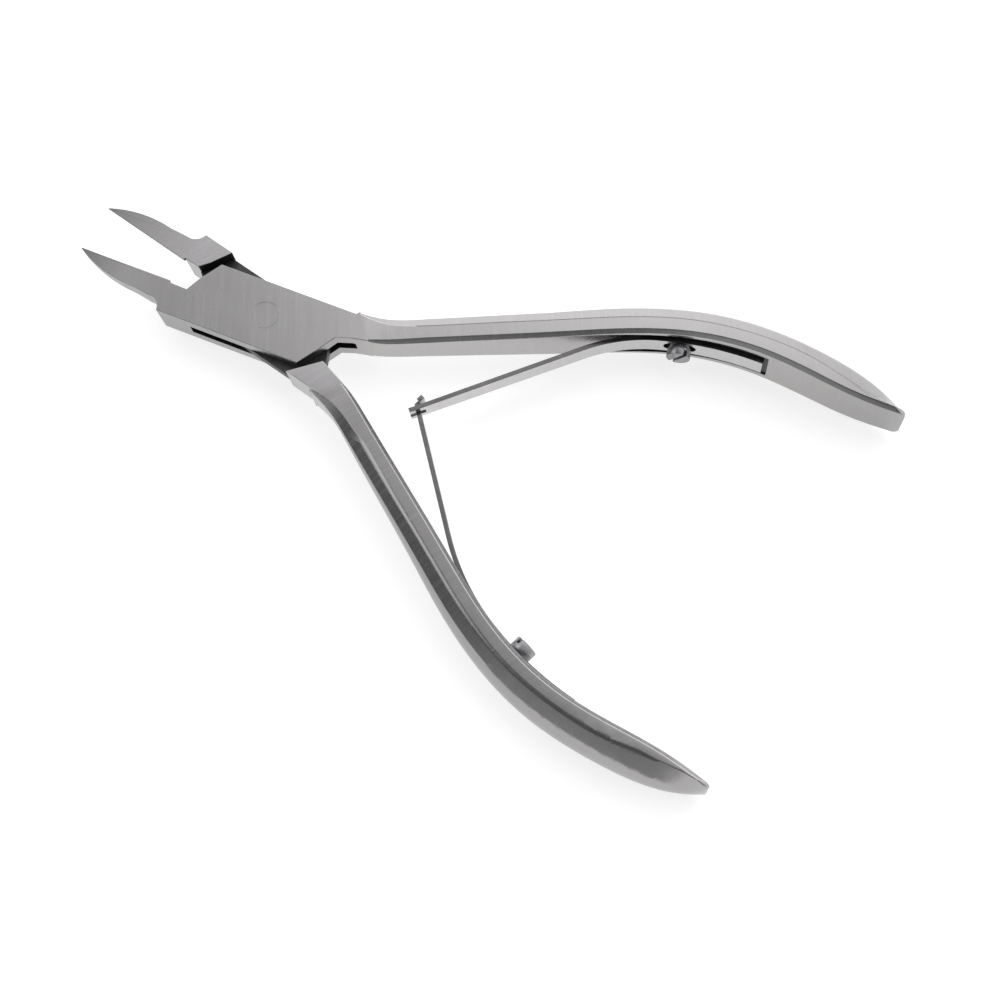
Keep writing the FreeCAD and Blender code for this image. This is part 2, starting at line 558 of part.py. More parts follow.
def build_pin():
    """The pivot pin, ground flush with both faces of the box."""
    body = new_body("pivot_pin")
    sketch = new_sketch(body, "pin_sketch", "XY_Plane")
    sketch.setExpression("AttachmentOffset.Base.z", "Places.mid_plane")
    diameter = dimensions.get("pin_diameter")
    circle = sketch.addGeometry(Part.Circle(Vector(), Vector(0, 0, 1), diameter / 2))
    sketch.addConstraint(Sketcher.Constraint("Coincident", circle, 3, -1, 1))
    bind(sketch, "Diameter", (circle,), diameter, "Dimensions.pin_diameter")
    prism(body, "Pad", "pin", sketch, "Dimensions.box_thickness")
    return body


def step_back(point, side, length, angle, across):
    """From a point of a leaf on toward its tip, then square to that direction.

    A point is its x and y, each as a value and as a formula."""
    turn = math.radians(angle[0])
    sign = 1 if side > 0 else -1
    plus, minus = ("+", "-") if side > 0 else ("-", "+")
    return (point[0] - length[0] * math.cos(turn) - across[0] * math.sin(turn),
            point[1] + sign * (across[0] * math.cos(turn) - length[0] * math.sin(turn)),
            "%s - (%s) * cos(%s) - (%s) * sin(%s)"
            % (point[2], length[1], angle[1], across[1], angle[1]),
            "%s %s (%s) * cos(%s) %s (%s) * sin(%s)"
            % (point[3], plus, across[1], angle[1], minus, length[1], angle[1]))


def named(alias):
    """A driving dimension or a worked-out place, as a value and as a formula."""
    if alias in dict(DRIVING):
        return dimensions.get(alias), D + alias
    return places.get(alias), "Places." + alias


def leaf_line(kind, offset, side):
    """Points of one long edge of a leaf from its root to its tip, and its two radii.

    The offset is 1 for the edge toward the handle, 0 for the centre line, -1 within."""
    half = offset * dimensions.get("spring_thickness") / 2
    radii = []
    for alias in ("seat_radius", kind + "_bend_radius"):
        radii.append((dimensions.get(alias) + half,
                      "Dimensions.%s + %s * Dimensions.spring_thickness / 2" % (alias, offset)))
    seat_angle = named("seat_angle")
    angle = named(kind + "_angle")
    root = on_circle("seat", radii[0][1], radii[0][0], named("seat_end_angle"), side)
    join = on_circle("seat", radii[0][1], radii[0][0], seat_angle, side)
    knee = on_circle(kind, radii[1][1], radii[1][0], angle, side)
    nothing = (0.0, "0")
    length = named(kind + "_length")
    points = [root, join, knee]
    if kind == "fork":
        points.append(step_back(knee, side, length, angle, nothing))
        return points, radii
    centre = on_circle(kind, "Dimensions.hook_bend_radius",
                       dimensions.get("hook_bend_radius"), angle, side)
    bend = step_back(centre, side, length, angle, nothing)
    spread = math.cos(math.radians(dimensions.get("hook_turn") / 2))
    shift = "(%s * Dimensions.spring_thickness / 2)" % offset
    mitre = (half / spread, shift + " / cos(Dimensions.hook_turn / 2)")
    points.append(step_back(bend, side, nothing, named("bend_angle"), mitre))
    points.append(step_back(bend, side, named("hook_tip"), named("head_angle"),
                            (half, shift)))
    return points, radii


def draw_leaf_line(sketch, points, radii, side):
    """Two arcs and one or two straight stretches through the given points, all pinned."""
    spots = [Vector(point[0], point[1], 0) for point in points]
    left = side > 0
    pieces = []
    for number, (start, end) in enumerate(zip(spots, spots[1:])):
        if number < len(radii):
            radius, formula = radii[number]
            edge = sketch.addGeometry(arc_between(start, end, radius, left))
            bind(sketch, "Radius", (edge,), radius, formula)
            pieces.append((edge, 1, 2) if left else (edge, 2, 1))
        else:
            pieces.append((sketch.addGeometry(Part.LineSegment(start, end)), 1, 2))
    for number, (edge, first, _) in enumerate(pieces):
        point = points[number]
        bind(sketch, "DistanceX", (-1, 1, edge, first), point[0], point[2])
        bind(sketch, "DistanceY", (-1, 1, edge, first), point[1], point[3])
        if number:
            before = pieces[number - 1]
            sketch.addConstraint(Sketcher.Constraint("Coincident", before[0], before[2],
                                                     edge, first))
    edge, _, last = pieces[-1]
    bind(sketch, "DistanceX", (-1, 1, edge, last), points[-1][0], points[-1][2])
    bind(sketch, "DistanceY", (-1, 1, edge, last), points[-1][1], points[-1][3])
    return (pieces[0][0], pieces[0][1], spots[0]), (edge, last, spots[-1])


def build_leaf(label, kind, side):
    """A leaf spring: its root follows the recess floor, then it bends and runs straight.

    The fork has a slot in its tip. The hook has a neck that passes through that slot
    and a head that is bent over behind it."""
    body = new_body(label)
    sketch = new_sketch(body, "leaf_sketch", "XY_Plane")
    sketch.setExpression("AttachmentOffset.Base.z", "Places.mid_plane")
    roots, tips = zip(*[draw_leaf_line(sketch, *leaf_line(kind, offset, side), side)
                        for offset in (1, -1)])
    for near, far in (roots, tips):
        cap = sketch.addGeometry(Part.LineSegment(near[2], far[2]))
        sketch.addConstraint(Sketcher.Constraint("Coincident", cap, 1, near[0], near[1]))
        sketch.addConstraint(Sketcher.Constraint("Coincident", cap, 2, far[0], far[1]))
    prism(body, "Pad", "leaf", sketch, "Dimensions.spring_width")
    taper_leaf(body)
    slot_for_screw(body, side)
    if kind == "fork":
        cut_tip(body, side, kind, "fork_angle", ("-past_tip", "slot_reach", "-slot_half",
                                                 "slot_half"))
    else:
        cut_tip(body, side, kind, "head_angle", ("neck_start", "neck_end", "neck_half",
                                                 "past_edge"))
        cut_tip(body, side, kind, "head_angle", ("neck_start", "neck_end", "-past_edge",
                                                 "-neck_half"))
    return body


def taper_leaf(body):
    """Narrow the leaf toward its tip, from both edges."""
    for number, sign in enumerate((1, -1)):
        sketch = new_sketch(body, "taper_sketch_%d" % number, "XZ_Plane")
        sketch.setExpression("AttachmentOffset.Base.y", "Places.mid_plane")
        minus = "" if sign > 0 else "-"
        corners = [("taper_start", "tip_half"), ("taper_end", "leaf_half"),
                   ("taper_end", "past_edge"), ("taper_start", "past_edge")]
        draw_polygon(sketch, [(places.get(across), sign * places.get(up),
                               "Places." + across, minus + "Places." + up)
                              for across, up in corners])
        prism(body, "Pocket", "taper_%d" % number, sketch, "Dimensions.box_width * 6")


def cut_tip(body, side, kind, angle, window):
    """A window cut through the leaf near its tip, drawn square to the leaf.

    It runs from a near to a far distance behind the tip, and from a low to a high z
    about the middle plane."""
    tip = leaf_line(kind, 0, side)[0][-1]
    number = len(body.Group)
    sketch = new_sketch(body, "tip_window_%d" % number, "XZ_Plane")
    up = tip[3] if side > 0 else "-(%s)" % tip[3]
    stand_across(sketch, side, tip[2], up, named(angle)[1] + " - 90")
    pairs = []
    for alias in window:
        minus = alias[:1] if alias.startswith("-") else ""
        value, formula = named(alias.lstrip("-"))
        pairs.append((-value if minus else value, minus + formula))
    near, far, low, high = pairs
    corners = [(near, low), (far, low), (far, high), (near, high)]
    draw_polygon(sketch, [(across[0], rise[0], across[1], rise[1]) for across, rise in corners])
    prism(body, "Pocket", "tip_cut_%d" % number, sketch, "Dimensions.spring_thickness * 5")


def slot_for_screw(body, side):
    """The oblong hole in the leaf's root that the screw passes through."""
    sketch = new_sketch(body, "screw_hole_sketch", "XZ_Plane")
    point, angle = screw_spot(side)
    stand_across(sketch, side, point[2], point[3], D + angle + " - 90")
    length, width = dimensions.get("spring_hole_length"), dimensions.get("spring_hole_width")
    half, radius = (length - width) / 2, width / 2
    arcs = []
    for sign, start in ((1, -math.pi / 2), (-1, math.pi / 2)):
        circle = Part.Circle(Vector(sign * half, 0, 0), Vector(0, 0, 1), radius)
        arcs.append(sketch.addGeometry(Part.ArcOfCircle(circle, start, start + math.pi)))
    top = sketch.addGeometry(Part.LineSegment(Vector(half, radius, 0), Vector(-half, radius, 0)))
    low = sketch.addGeometry(Part.LineSegment(Vector(-half, -radius, 0),
                                              Vector(half, -radius, 0)))
    for join in ((arcs[0], 2, top, 1), (top, 2, arcs[1], 1), (arcs[1], 2, low, 1),
                 (low, 2, arcs[0], 1)):
        sketch.addConstraint(Sketcher.Constraint("Tangent", *join))
    sketch.addConstraint(Sketcher.Constraint("Symmetric", arcs[0], 3, arcs[1], 3, -1, 1))
    sketch.addConstraint(Sketcher.Constraint("PointOnObject", arcs[0], 3, -1))
    bind(sketch, "Radius", (arcs[0],), radius, "Dimensions.spring_hole_width / 2")
    bind(sketch, "DistanceX", (-1, 1, arcs[0], 3), half,
         "(Dimensions.spring_hole_length - Dimensions.spring_hole_width) / 2")
    return prism(body, "Pocket", "screw_hole", sketch, "Dimensions.spring_thickness * 3")


def build_screw(label, side):
    """A slotted cheese-head screw, turned about its own X axis and set on its leaf."""
    body = new_body(label)
    sketch = new_sketch(body, "turned_sketch", "XY_Plane")
    height, gap = dimensions.get("head_height"), dimensions.get("head_gap")
    head, shank = dimensions.get("head_diameter") / 2, dimensions.get("shank_diameter") / 2
    length = dimensions.get("shank_length")
    draw_polygon(sketch, [
        (-height - gap, 0.0, "-Dimensions.head_height - Dimensions.head_gap", "0"),
        (length, 0.0, "Dimensions.shank_length", "0"),
        (length, shank, "Dimensions.shank_length", "Dimensions.shank_diameter / 2"),
        (-gap, shank, "-Dimensions.head_gap", "Dimensions.shank_diameter / 2"),
        (-gap, head, "-Dimensions.head_gap", "Dimensions.head_diameter / 2"),
        (-height - gap, head, "-Dimensions.head_height - Dimensions.head_gap",
         "Dimensions.head_diameter / 2"),
    ])
    turned = body.newObject("PartDesign::Revolution", "turned")
    turned.Profile = sketch
    turned.ReferenceAxis = (sketch, ["H_Axis"])
    turned.Angle = 360
    groove = new_sketch(body, "driver_slot_sketch", "XY_Plane")
    wide, deep = dimensions.get("driver_slot_width") / 2, dimensions.get("driver_slot_depth")
    far = "-Dimensions.head_height - 1"
    floor = "-Dimensions.head_height - Dimensions.head_gap + Dimensions.driver_slot_depth"
    half = "Dimensions.driver_slot_width / 2"
    draw_polygon(groove, [
        (-height - 1, -wide, far, "-" + half), (-height - gap + deep, -wide, floor, "-" + half),
        (-height - gap + deep, wide, floor, half), (-height - 1, wide, far, half)])
    prism(body, "Pocket", "driver_slot", groove, "Dimensions.head_diameter * 2")
    angle = dimensions.get(screw_spot(side)[1])
    turn = math.radians(angle)
    radius = dimensions.get("seat_radius") - dimensions.get("spring_thickness") / 2
    spot = Vector(places.get("seat_x") - radius * math.sin(turn),
                  side * (places.get("seat_y") + radius * math.cos(turn)),
                  places.get("mid_plane"))
    facing = Rotation(Vector(0, 0, 1), side * (90 + angle))
    own_turn = Rotation(Vector(1, 0, 0), dimensions.get("driver_slot_turn"))
    body.Placement = Placement(spot, facing.multiply(own_turn))
    return body


def open_about_pivot(body, side):
    """Turn a finished piece from the closed pose to the open rest pose."""
    turn = Rotation(Vector(0, 0, 1), side * dimensions.get("opening_angle") / 2)
    body.Placement = Placement(Vector(), turn).multiply(body.Placement)


upper = [build_box_half(), build_leaf("upper_spring", "fork", 1),
         build_screw("upper_spring_screw", 1), build_pin()]
lower = [build_inner_half(), build_leaf("lower_spring", "hook", -1),
         build_screw("lower_spring_screw", -1)]
for piece in upper:
    open_about_pivot(piece, 1)
for piece in lower:
    open_about_pivot(piece, -1)
doc.recompute()

for item in doc.Objects:
    if "Invalid" in item.State or "Error" in item.State:
        raise RuntimeError("%s is in state %s" % (item.Label, item.State))
for piece in upper + lower:
    steps = [item for item in piece.Group if item.isDerivedFrom("PartDesign::Feature")]
    for before, after in zip(steps, steps[1:]):
        grown = after.Shape.Volume - before.Shape.Volume
        cuts = after.TypeId in ("PartDesign::Pocket", "PartDesign::Groove")
        if abs(grown) < 1e-3 or (grown > 0) == cuts:
            raise RuntimeError("%s in %s changes nothing" % (after.Label, piece.Label))
    shape = piece.Shape
    if shape.isNull() or not shape.isValid() or len(shape.Solids) != 1:
        raise RuntimeError("%s is not one valid solid" % piece.Label)
    print("%-20s %9.2f mm3  %s" % (piece.Label, shape.Volume, shape.BoundBox))
os.makedirs("parts", exist_ok=True)
for piece in upper + lower:
    piece.Shape.exportStep("parts/%s.step" % piece.Label)
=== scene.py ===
import math

import bmesh
import bpy
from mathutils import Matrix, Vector


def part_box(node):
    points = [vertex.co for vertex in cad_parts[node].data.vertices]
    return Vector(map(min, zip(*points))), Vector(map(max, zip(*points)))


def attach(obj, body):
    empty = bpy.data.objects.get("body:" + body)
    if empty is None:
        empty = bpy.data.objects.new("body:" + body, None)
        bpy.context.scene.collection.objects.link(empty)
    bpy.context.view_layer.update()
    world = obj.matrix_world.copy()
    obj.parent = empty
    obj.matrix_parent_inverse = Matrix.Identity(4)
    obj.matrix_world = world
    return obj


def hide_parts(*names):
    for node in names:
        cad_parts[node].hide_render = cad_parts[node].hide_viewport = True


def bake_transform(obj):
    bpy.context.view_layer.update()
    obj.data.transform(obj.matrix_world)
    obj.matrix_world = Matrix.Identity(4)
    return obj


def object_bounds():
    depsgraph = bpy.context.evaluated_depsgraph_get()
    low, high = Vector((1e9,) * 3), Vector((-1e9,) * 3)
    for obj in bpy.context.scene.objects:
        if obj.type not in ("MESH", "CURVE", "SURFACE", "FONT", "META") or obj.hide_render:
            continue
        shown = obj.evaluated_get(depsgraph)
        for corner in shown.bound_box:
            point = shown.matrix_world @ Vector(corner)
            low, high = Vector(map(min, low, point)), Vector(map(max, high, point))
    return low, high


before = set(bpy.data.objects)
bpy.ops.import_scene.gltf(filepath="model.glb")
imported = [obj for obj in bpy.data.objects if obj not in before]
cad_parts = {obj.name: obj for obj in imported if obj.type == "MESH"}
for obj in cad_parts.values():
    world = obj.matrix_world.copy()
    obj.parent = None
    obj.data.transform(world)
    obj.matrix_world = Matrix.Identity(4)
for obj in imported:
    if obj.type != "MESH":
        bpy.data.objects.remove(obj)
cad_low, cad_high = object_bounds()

# The camera looks steeply down on the open tool from the side of the lower handle, as the
# photograph does, and frames the whole tool with a small margin. White stays white.
MM = 0.001
camera_place = Vector((97.56, -66.04, 238.49)) * MM
camera_turn = [math.radians(angle) for angle in (17.761, 3.754, 29.673)]
picture_width = 1000
focal_pixels = 1640
sensor_width = 36
bpy.ops.object.camera_add(location=camera_place, rotation=camera_turn)
camera = bpy.context.object
camera.data.sensor_width = sensor_width
camera.data.lens = focal_pixels * sensor_width / picture_width
camera.data.clip_start = 1 * MM
bpy.context.scene.camera = camera
bpy.context.scene.view_settings.view_transform = "Standard"

# The floor is a plain pale plane just under the lowest point of the handles. Nothing
# else stands on it.
floor_size = 4.0
floor_gap = 0.02 * MM
floor_grey = (0.5, 0.5, 0.5, 1)
floor_glow = 0.72
bpy.ops.mesh.primitive_plane_add(size=floor_size, location=(30 * MM, 0, cad_low.z - floor_gap))
floor = bpy.context.object
floor.name = "floor"
floor_paint = bpy.data.materials.new("floor_paint")
floor_paint.use_nodes = True
floor_shader = floor_paint.node_tree.nodes["Principled BSDF"]
floor_shader.inputs["Base Color"].default_value = floor_grey
floor_shader.inputs["Roughness"].default_value = 0.9
floor_shader.inputs["Emission Color"].default_value = (1, 1, 1, 1)
floor_shader.inputs["Emission Strength"].default_value = floor_glow
floor.data.materials.append(floor_paint)


def fill_ramp(ramp, stops, blue=1.0):
    """Grey stops along a colour ramp. The first and the last take its two ends."""
    for number, (spot, level) in enumerate(stops):
        if number == 0:
            stop = ramp.elements[0]
        elif number == len(stops) - 1:
            stop = ramp.elements[-1]
        else:
            stop = ramp.elements.new(spot)
        stop.color = (level, level, level * blue, 1)


# The studio is a pale room that is dark behind the camera and bright in front of it, with a
# soft box at the back and one at the side, so that the satin steel shows long gradients.
sky_direction = (0.1, 0.5, 0)
sky_brightness = 1.4
sky_blue = 1.01
sky_steps = ((0.0, 0.34), (0.07, 0.3), (0.12, 0.11), (0.22, 0.1), (0.5, 0.14), (0.55, 0.25),
             (0.61, 0.8), (0.68, 1.0), (1.0, 0.9))
room = bpy.context.scene.world or bpy.data.worlds.new("room")
bpy.context.scene.world = room
room.use_nodes = True
sky = room.node_tree
sky_place = sky.nodes.new("ShaderNodeTexCoord")
sky_slope = sky.nodes.new("ShaderNodeVectorMath")
sky_slope.operation = "DOT_PRODUCT"
sky_slope.inputs[1].default_value = sky_direction
sky_shift = sky.nodes.new("ShaderNodeMath")
sky_shift.operation = "ADD"
sky_shift.inputs[1].default_value = 0.5
sky_ramp = sky.nodes.new("ShaderNodeValToRGB")
sky.links.new(sky_place.outputs["Generated"], sky_slope.inputs[0])
sky.links.new(sky_slope.outputs["Value"], sky_shift.inputs[0])
sky.links.new(sky_shift.outputs["Value"], sky_ramp.inputs["Fac"])
fill_ramp(sky_ramp.color_ramp, sky_steps, sky_blue)
sky.links.new(sky_ramp.outputs["Color"], sky.nodes["Background"].inputs["Color"])
sky.nodes["Background"].inputs["Strength"].default_value = sky_brightness


def soft_box(name, place, aim, size, watts):
    """A rectangular area light that faces a point of the tool."""
    bpy.ops.object.light_add(type="AREA", location=place)
    lamp = bpy.context.object
    lamp.name = name
    lamp.data.shape = "RECTANGLE"
    lamp.data.size, lamp.data.size_y = size
    lamp.data.energy = watts
    lamp.rotation_euler = (Vector(aim) - Vector(place)).to_track_quat("-Z", "Y").to_euler()


tool_middle = (0.04, 0, 0)
soft_box("back_light", (0.1, 0.9, 0.55), tool_middle, (1.2, 0.5), 2.5)
soft_box("side_light", (-0.9, -0.1, 0.8), tool_middle, (0.9, 0.9), 4.0)

# The two halves are drop forgings of stainless steel, ground and satin brushed. The box
# half carries the slotted box and the upper handle, the inner half the thin web and the
# lower handle, and the pin holds them together. Their edges are broken by tumbling.
def new_group(name, inputs, outputs):
    """An empty node group with named number or vector sockets."""
    group = bpy.data.node_groups.new(name, "ShaderNodeTree")
    for socket, kind, value in inputs:
        made = group.interface.new_socket(socket, in_out="INPUT", socket_type=kind)
        if value is not None:
            made.default_value = value
    for socket, kind in outputs:
        group.interface.new_socket(socket, in_out="OUTPUT", socket_type=kind)
    return group, group.nodes.new("NodeGroupInput"), group.nodes.new("NodeGroupOutput")


def add_node(tree, kind, **settings):
    """A node whose settings are properties, or sockets written with a leading in_."""
    node = tree.nodes.new(kind)
    for key, value in settings.items():
        if key.startswith("in_"):
            node.inputs[key[3:].replace("_", " ")].default_value = value
        else:
            setattr(node, key, value)
    return node


coarseness = (0.35, 0.22, 0.35)


def build_brushing():
    """Long fine scratches along one direction of the Object coordinates."""
    group, given, out = new_group(
        "brushing", [("Vector", "NodeSocketVector", None),
                     ("Lines per metre", "NodeSocketFloat", 9000),
                     ("Streak", "NodeSocketFloat", 260)],
        [("Fine", "NodeSocketFloat"), ("Coarse", "NodeSocketFloat")])
    stretch = add_node(group, "ShaderNodeCombineXYZ")
    group.links.new(given.outputs["Streak"], stretch.inputs["X"])
    group.links.new(given.outputs["Lines per metre"], stretch.inputs["Y"])
    group.links.new(given.outputs["Streak"], stretch.inputs["Z"])
    scaled = add_node(group, "ShaderNodeVectorMath", operation="MULTIPLY")
    group.links.new(given.outputs["Vector"], scaled.inputs[0])
    group.links.new(stretch.outputs["Vector"], scaled.inputs[1])
    fine = add_node(group, "ShaderNodeTexNoise", in_Scale=1.0, in_Detail=2.0, in_Roughness=0.65)
    group.links.new(scaled.outputs["Vector"], fine.inputs["Vector"])
    group.links.new(fine.outputs["Fac"], out.inputs["Fine"])
    spread = add_node(group, "ShaderNodeVectorMath", operation="MULTIPLY")
    spread.inputs[1].default_value = coarseness
    group.links.new(scaled.outputs["Vector"], spread.inputs[0])
    coarse = add_node(group, "ShaderNodeTexNoise", in_Scale=1.0, in_Detail=1.0)
    group.links.new(spread.outputs["Vector"], coarse.inputs["Vector"])
    group.links.new(coarse.outputs["Fac"], out.inputs["Coarse"])
    return group


def build_patches():
    """Broad cloudy patches left by tumbling and handling."""
    group, given, out = new_group(
        "handling_patches", [("Vector", "NodeSocketVector", None),
                             ("Cloud scale", "NodeSocketFloat", 90)],
        [("Cloud", "NodeSocketFloat")])
    cloud = add_node(group, "ShaderNodeTexNoise", in_Detail=3.0, in_Roughness=0.55)
    group.links.new(given.outputs["Vector"], cloud.inputs["Vector"])
    group.links.new(given.outputs["Cloud scale"], cloud.inputs["Scale"])
    group.links.new(cloud.outputs["Fac"], out.inputs["Cloud"])
    return group


brushing = build_brushing()
patches = build_patches()
darkest, lightest = 0.36, 0.64
gloss_spread = 0.05
scratch_depth = 0.01 * MM


def steel(name, dark, light, gloss, turn, bump, painted_shading=((0, 1.0), (100, 1.0))):
    """Satin steel with brush lines turned by an angle about Z.

    Its last argument gives painted shade and light: how bright the colour is at places along X,
    in millimetres from the pin."""
    material = bpy.data.materials.new(name)
    material.use_nodes = True
    tree = material.node_tree
    shader = tree.nodes["Principled BSDF"]
    shader.inputs["Metallic"].default_value = 1.0
    place = add_node(tree, "ShaderNodeTexCoord")
    turned = add_node(tree, "ShaderNodeMapping")
    turned.inputs["Rotation"].default_value = (0, 0, math.radians(turn))
    tree.links.new(place.outputs["Object"], turned.inputs["Vector"])
    lines = add_node(tree, "ShaderNodeGroup", node_tree=brushing)
    tree.links.new(turned.outputs["Vector"], lines.inputs["Vector"])
    marks = add_node(tree, "ShaderNodeGroup", node_tree=patches)
    tree.links.new(place.outputs["Object"], marks.inputs["Vector"])
    grain = add_node(tree, "ShaderNodeMath", operation="ADD")
    tree.links.new(lines.outputs["Fine"], grain.inputs[0])
    tree.links.new(lines.outputs["Coarse"], grain.inputs[1])
    mixed = add_node(tree, "ShaderNodeMath", operation="ADD")
    tree.links.new(grain.outputs["Value"], mixed.inputs[0])
    tree.links.new(marks.outputs["Cloud"], mixed.inputs[1])
    mean_of_three = add_node(tree, "ShaderNodeMath", operation="DIVIDE")
    mean_of_three.inputs[1].default_value = 3.0
    tree.links.new(mixed.outputs["Value"], mean_of_three.inputs[0])
    colour = add_node(tree, "ShaderNodeValToRGB")
    colour.color_ramp.elements[0].position = darkest
    colour.color_ramp.elements[0].color = (*dark, 1)
    colour.color_ramp.elements[1].position = lightest
    colour.color_ramp.elements[1].color = (*light, 1)
    tree.links.new(mean_of_three.outputs["Value"], colour.inputs["Fac"])
    split = add_node(tree, "ShaderNodeSeparateXYZ")
    tree.links.new(place.outputs["Object"], split.inputs["Vector"])
    start, end = painted_shading[0][0], painted_shading[-1][0]
    along = add_node(tree, "ShaderNodeMapRange", in_From_Min=start * MM, in_From_Max=end * MM)
    tree.links.new(split.outputs["X"], along.inputs["Value"])
    # Painted shade and light: the base colour is darkened part by part along X.
    painted_shade_ramp = add_node(tree, "ShaderNodeValToRGB")
    fill_ramp(painted_shade_ramp.color_ramp, [((spot - start) / (end - start), level)
                                   for spot, level in painted_shading])
    tree.links.new(along.outputs["Result"], painted_shade_ramp.inputs["Fac"])
    shaded = add_node(tree, "ShaderNodeVectorMath", operation="MULTIPLY")
    tree.links.new(colour.outputs["Color"], shaded.inputs[0])
    tree.links.new(painted_shade_ramp.outputs["Color"], shaded.inputs[1])
    tree.links.new(shaded.outputs["Vector"], shader.inputs["Base Color"])
    rough = add_node(tree, "ShaderNodeMapRange", in_To_Min=gloss - gloss_spread,
                     in_To_Max=gloss + gloss_spread)
    tree.links.new(lines.outputs["Coarse"], rough.inputs["Value"])
    tree.links.new(rough.outputs["Result"], shader.inputs["Roughness"])
    relief = add_node(tree, "ShaderNodeBump", in_Strength=bump, in_Distance=scratch_depth)
    tree.links.new(lines.outputs["Fine"], relief.inputs["Height"])
    tree.links.new(relief.outputs["Normal"], shader.inputs["Normal"])
    return material


merge_distance = 0.002 * MM
flat_angle = math.radians(0.2)


def copy_of(node, name):
    """A merged copy of a CAD node, with its custom normals cleared and its flat faces joined."""
    piece = bpy.data.objects.new(name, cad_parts[node].data.copy())
    bpy.context.collection.objects.link(piece)
    bpy.ops.object.select_all(action="DESELECT")
    piece.select_set(True)
    bpy.context.view_layer.objects.active = piece
    piece.data.materials.clear()
    bpy.ops.mesh.customdata_custom_splitnormals_clear()
    bpy.ops.object.mode_set(mode="EDIT")
    bpy.ops.mesh.select_all(action="SELECT")
    bpy.ops.mesh.remove_doubles(threshold=merge_distance)
    bpy.ops.mesh.dissolve_limited(angle_limit=flat_angle)
    bpy.ops.object.mode_set(mode="OBJECT")
    return piece


parallel = 0.99


def crowded(edge, reach):
    """True for an upright edge of a face with another one nearer beside it than the reach."""
    start = edge.verts[0].co
    way = (edge.verts[1].co - start).normalized()
    if abs(way.z) < parallel:
        return False
    for other in {other for face in edge.link_faces for other in face.edges if other is not edge}:
        first, second = [corner.co - start for corner in other.verts]
        if abs((second - first).normalized().dot(way)) < parallel:
            continue
        near, far = sorted((first.dot(way), second.dot(way)))
        beside = min(far, edge.calc_length()) - max(near, 0)
        if beside > reach and (first - way * first.dot(way)).length < reach:
            return True
    return False


sharp_angle = math.radians(20)
smooth_angle = math.radians(40)


def break_edges(piece, width):
    """Small round on every outward sharp edge, with the flats left flat.

    The weight picks the edges. Inward corners stay sharp, as the other half runs in them."""
    shape = bmesh.new()
    shape.from_mesh(piece.data)
    weight = shape.edges.layers.float.new("bevel_weight_edge")
    for edge in shape.edges:
        if (edge.is_convex and edge.calc_face_angle() > sharp_angle
                and not crowded(edge, 2 * width)):
            edge[weight] = 1
    shape.to_mesh(piece.data)
    shape.free()
    bevel = piece.modifiers.new("broken_edges", "BEVEL")
    bevel.width = width
    bevel.segments = 2
    bevel.limit_method = "WEIGHT"
    bevel.use_clamp_overlap = False
    bevel.harden_normals = False
    bpy.ops.object.modifier_apply(modifier=bevel.name)
    bpy.ops.object.shade_smooth_by_angle(angle=smooth_angle)
    weights = piece.modifiers.new("flat_faces", "WEIGHTED_NORMAL")
    weights.keep_sharp = True
    bpy.ops.object.modifier_apply(modifier=weights.name)


def paint_faces(piece, slot_number, wanted):
    """Give a material slot to the faces whose corners, middle and normal pass a test."""
    for face in piece.data.polygons:
        corners = [piece.data.vertices[index].co / MM for index in face.vertices]
        if wanted(corners, face.center / MM, face.normal):
            face.material_index = slot_number


end_turn = math.radians(10.8)
end_round = 1.8 * MM
end_band = 0.3 * MM
end_cuts = 3
handle_from = 60 * MM


def round_end(piece, side):
    """Round the two corners of the blunt end of the handle with flat grinding cuts."""
    along = Vector((math.cos(end_turn), side * math.sin(end_turn), 0))
    handle = [vertex.co for vertex in piece.data.vertices if vertex.co.x > handle_from]
    reach = max(point.dot(along) for point in handle)
    tip = max(handle, key=lambda point: point.dot(along))
    near_end = [point.z for point in handle if point.dot(along) > reach - end_band]
    bpy.ops.object.mode_set(mode="EDIT")
    for up in (1, -1):
        height = max(near_end) if up > 0 else min(near_end)
        centre = Vector((tip.x, tip.y, height)) - end_round * (along + Vector((0, 0, up)))
        for step in range(1, end_cuts + 1):
            turn = math.radians(90 * step / (end_cuts + 1))
            cut = along * math.cos(turn) + Vector((0, 0, up)) * math.sin(turn)
            bpy.ops.mesh.select_all(action="SELECT")
            bpy.ops.mesh.bisect(plane_co=centre + end_round * cut, plane_no=cut, use_fill=True,
                                clear_outer=True)
    bpy.ops.object.mode_set(mode="OBJECT")


ridge_from, ridge_to = 26 * MM, 86 * MM
ridge_along = 0.6
ridge_inward = -0.2
ridge_slope_low, ridge_slope_high = 0.6, 0.9
ridge_flat = 0.95
ridge_round = 0.45 * MM
ridge_steps = 4
shortest_ridge = 1.5 * MM


def soften_ridge(piece, side):
    """Blend the long ridge between the flat and the outer slope, as a belt grinder does."""
    bpy.ops.object.mode_set(mode="EDIT")
    bpy.ops.mesh.select_mode(type="EDGE")
    bpy.ops.mesh.select_all(action="DESELECT")
    shape = bmesh.from_edit_mesh(piece.data)
    for edge in shape.edges:
        middle = (edge.verts[0].co + edge.verts[1].co) / 2
        normals = [face.normal for face in edge.link_faces]
        slope, flat = sorted(abs(normal.z) for normal in normals)
        lengthwise = abs((edge.verts[1].co - edge.verts[0].co).normalized().x) > ridge_along
        outer = all(normal.y * side > ridge_inward for normal in normals)
        if (ridge_from < middle.x < ridge_to and lengthwise and outer
                and ridge_slope_low < slope < ridge_slope_high and flat > ridge_flat
                and edge.calc_length() > shortest_ridge):
            edge.select = True
    bmesh.update_edit_mesh(piece.data)
    bpy.ops.mesh.bevel(offset=ridge_round, segments=ridge_steps, clamp_overlap=False)
    bpy.ops.object.mode_set(mode="OBJECT")
